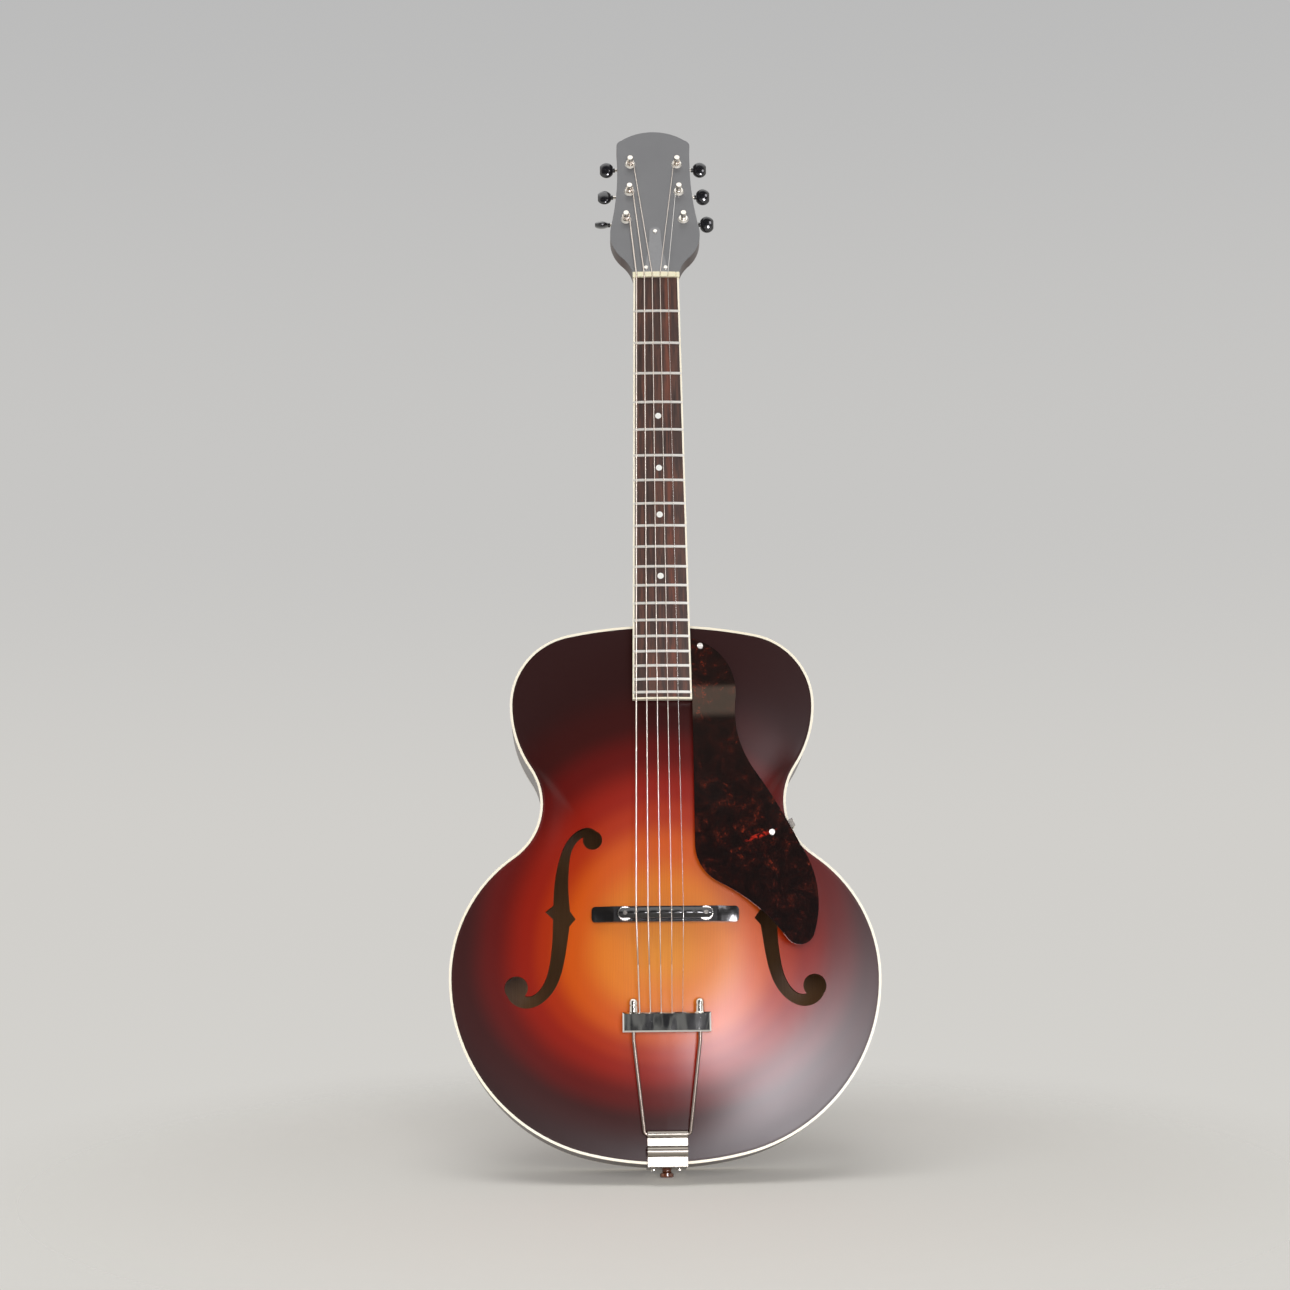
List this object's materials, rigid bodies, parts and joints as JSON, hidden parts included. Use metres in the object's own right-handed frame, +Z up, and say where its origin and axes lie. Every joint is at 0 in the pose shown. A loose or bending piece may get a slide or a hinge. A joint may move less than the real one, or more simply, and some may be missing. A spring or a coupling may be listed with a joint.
{
  "type": "archtop guitar",
  "caption": "Hollow-bodied archtop guitar with carved f-hole top, bound neck, floating bridge on thumbwheels, hinged trapeze tailpiece and geared tuners.",
  "frame": {"origin": "middle of the rim's outer face at the tail, where the strap button is seated", "axes": "+Z up the body towards the headstock, -Y out of the soundboard towards the viewer, +X to the treble side"},
  "size_m": [0.4034, 0.1411, 1.0479],
  "materials": {
    "soundboard": "satin sunburst lacquer, amber to near black at the edge",
    "body_wood": "satin dark brown lacquer",
    "binding": "aged cream",
    "inner_wood": "bare",
    "neck_wood": "satin dark brown lacquer",
    "headstock_face": "satin black lacquer",
    "black_plastic": "worn black",
    "rosewood": "oiled, fine open grain",
    "fret_wire": "polished",
    "pearl": "pearl white",
    "bone": "bone, polished",
    "steel": "plain",
    "brass": "plain",
    "nickel": "aged nickel plate",
    "chrome": "mirror plate",
    "knob_plastic": "gloss black",
    "string_wire": "drawn and wound wire",
    "ebony": "satin black",
    "strap_plastic": "dark brown",
    "tortoiseshell": "mottled brown tortoiseshell"
  },
  "bodies": {
    "root": {"top_plate": "soundboard", "back_plate": "body_wood", "rim": "body_wood", "top_binding": "binding", "back_binding": "binding", "fingerboard_binding": "binding", "neck_block": "inner_wood", "tail_block": "inner_wood", "kerfed_linings": "inner_wood", "tone_bars": "inner_wood", "neck": "neck_wood", "headstock_veneer": "headstock_face", "truss_rod_cover": "black_plastic", "heel_cap": "black_plastic", "fingerboard": "rosewood", "frets": "fret_wire", "fret_markers": "pearl", "nut": "bone", "truss_rod": "steel", "headstock_screws": "nickel", "tuner_plates": "nickel", "tuner_bushings": "nickel", "bridge_posts": "nickel", "tailpiece_bracket": "nickel", "bracket_screws": "nickel", "pickguard_supports": "nickel", "pickguard_screws": "nickel", "string_1": "string_wire", "string_2": "string_wire", "string_3": "string_wire", "string_4": "string_wire", "string_5": "string_wire", "bridge_base": "ebony", "strap_button": "strap_plastic", "pickguard": "tortoiseshell"},
    "saddle": {"bridge_saddle": "ebony"},
    "wheel_bass": {"thumbwheel_bass": "nickel"},
    "wheel_treble": {"thumbwheel_treble": "nickel"},
    "tailpiece": {"tailpiece_trapeze": "nickel", "tailpiece_crossbar": "chrome", "tailpiece_cap_nuts": "nickel"},
    "rod_nut": {"truss_rod_nut": "brass"},
    "knob_bass_1": {"tuner_worm_bass_1": "nickel", "tuner_button_bass_1": "knob_plastic"},
    "post_bass_1": {"tuner_post_bass_1": "nickel"},
    "knob_bass_2": {"tuner_worm_bass_2": "nickel", "tuner_button_bass_2": "knob_plastic"},
    "post_bass_2": {"tuner_post_bass_2": "nickel"},
    "knob_bass_3": {"tuner_worm_bass_3": "nickel", "tuner_button_bass_3": "knob_plastic"},
    "post_bass_3": {"tuner_post_bass_3": "nickel"},
    "knob_treble_1": {"tuner_worm_treble_1": "nickel", "tuner_button_treble_1": "knob_plastic"},
    "post_treble_1": {"tuner_post_treble_1": "nickel"},
    "knob_treble_2": {"tuner_worm_treble_2": "nickel", "tuner_button_treble_2": "knob_plastic"},
    "post_treble_2": {"tuner_post_treble_2": "nickel"},
    "knob_treble_3": {"tuner_worm_treble_3": "nickel", "tuner_button_treble_3": "knob_plastic"},
    "post_treble_3": {"tuner_post_treble_3": "nickel"}
  },
  "joints": [
    {"name": "knob_turn_bass_1", "type": "hinge", "parent": "root", "child": "knob_bass_1", "pos_m": [-0.0285, 0.01265, 0.93284], "axis": [1, 0, 0], "continuous": true},
    {"name": "post_turn_bass_1", "type": "hinge", "parent": "root", "child": "post_bass_1", "pos_m": [-0.0285, -0.00698, 0.93165], "axis": [0, 0.9511, -0.309], "continuous": true},
    {"name": "knob_turn_bass_2", "type": "hinge", "parent": "root", "child": "knob_bass_2", "pos_m": [-0.0247, 0.02347, 0.96613], "axis": [1, 0, 0], "continuous": true},
    {"name": "post_turn_bass_2", "type": "hinge", "parent": "root", "child": "post_bass_2", "pos_m": [-0.0247, 0.00384, 0.96493], "axis": [0, 0.9511, -0.309], "continuous": true},
    {"name": "knob_turn_bass_3", "type": "hinge", "parent": "root", "child": "knob_bass_3", "pos_m": [-0.0235, 0.03428, 0.99941], "axis": [1, 0, 0], "continuous": true},
    {"name": "post_turn_bass_3", "type": "hinge", "parent": "root", "child": "post_bass_3", "pos_m": [-0.0235, 0.01465, 0.99822], "axis": [0, 0.9511, -0.309], "continuous": true},
    {"name": "knob_turn_treble_1", "type": "hinge", "parent": "root", "child": "knob_treble_1", "pos_m": [0.0285, 0.01265, 0.93284], "axis": [1, 0, 0], "continuous": true},
    {"name": "post_turn_treble_1", "type": "hinge", "parent": "root", "child": "post_treble_1", "pos_m": [0.0285, -0.00698, 0.93165], "axis": [0, 0.9511, -0.309], "continuous": true},
    {"name": "knob_turn_treble_2", "type": "hinge", "parent": "root", "child": "knob_treble_2", "pos_m": [0.0247, 0.02347, 0.96613], "axis": [1, 0, 0], "continuous": true},
    {"name": "post_turn_treble_2", "type": "hinge", "parent": "root", "child": "post_treble_2", "pos_m": [0.0247, 0.00384, 0.96493], "axis": [0, 0.9511, -0.309], "continuous": true},
    {"name": "knob_turn_treble_3", "type": "hinge", "parent": "root", "child": "knob_treble_3", "pos_m": [0.0235, 0.03428, 0.99941], "axis": [1, 0, 0], "continuous": true},
    {"name": "post_turn_treble_3", "type": "hinge", "parent": "root", "child": "post_treble_3", "pos_m": [0.0235, 0.01465, 0.99822], "axis": [0, 0.9511, -0.309], "continuous": true},
    {"name": "saddle_lift", "type": "slide", "parent": "root", "child": "saddle", "axis": [0, -1, 0], "range_m": [-0.0014, 0.00245], "deforming": ["string_1", "string_2", "string_3", "string_4", "string_5"]},
    {"name": "wheel_turn_bass", "type": "hinge", "parent": "saddle", "child": "wheel_bass", "pos_m": [-0.0375, -0.0723, 0.22868], "axis": [0, -1, 0], "range_deg": [-725, 1265]},
    {"name": "wheel_turn_treble", "type": "hinge", "parent": "saddle", "child": "wheel_treble", "pos_m": [0.0375, -0.0723, 0.22868], "axis": [0, -1, 0], "range_deg": [-725, 1265]},
    {"name": "tailpiece_hinge", "type": "hinge", "parent": "root", "child": "tailpiece", "pos_m": [0, -0.049, 0.0275], "axis": [1, 0, 0], "range_deg": [-1.5, 4], "stiffness_Nm_per_rad": 4, "deforming": ["string_1", "string_2", "string_3", "string_4", "string_5"]},
    {"name": "rod_nut_turn", "type": "hinge", "parent": "root", "child": "rod_nut", "pos_m": [0, -0.01508, 0.88062], "axis": [0, 0.0698, 0.9976], "range_deg": [-180, 360]}
  ],
  "couplings": [
    {"joint": "post_turn_bass_1", "follows": "knob_turn_bass_1", "ratio": -0.071429},
    {"joint": "post_turn_bass_2", "follows": "knob_turn_bass_2", "ratio": -0.071429},
    {"joint": "post_turn_bass_3", "follows": "knob_turn_bass_3", "ratio": -0.071429},
    {"joint": "post_turn_treble_1", "follows": "knob_turn_treble_1", "ratio": -0.071429},
    {"joint": "post_turn_treble_2", "follows": "knob_turn_treble_2", "ratio": -0.071429},
    {"joint": "post_turn_treble_3", "follows": "knob_turn_treble_3", "ratio": -0.071429},
    {"joint": "wheel_turn_bass", "follows": "saddle_lift", "rad_per_m": 8976},
    {"joint": "wheel_turn_treble", "follows": "saddle_lift", "rad_per_m": 8976}
  ]
}
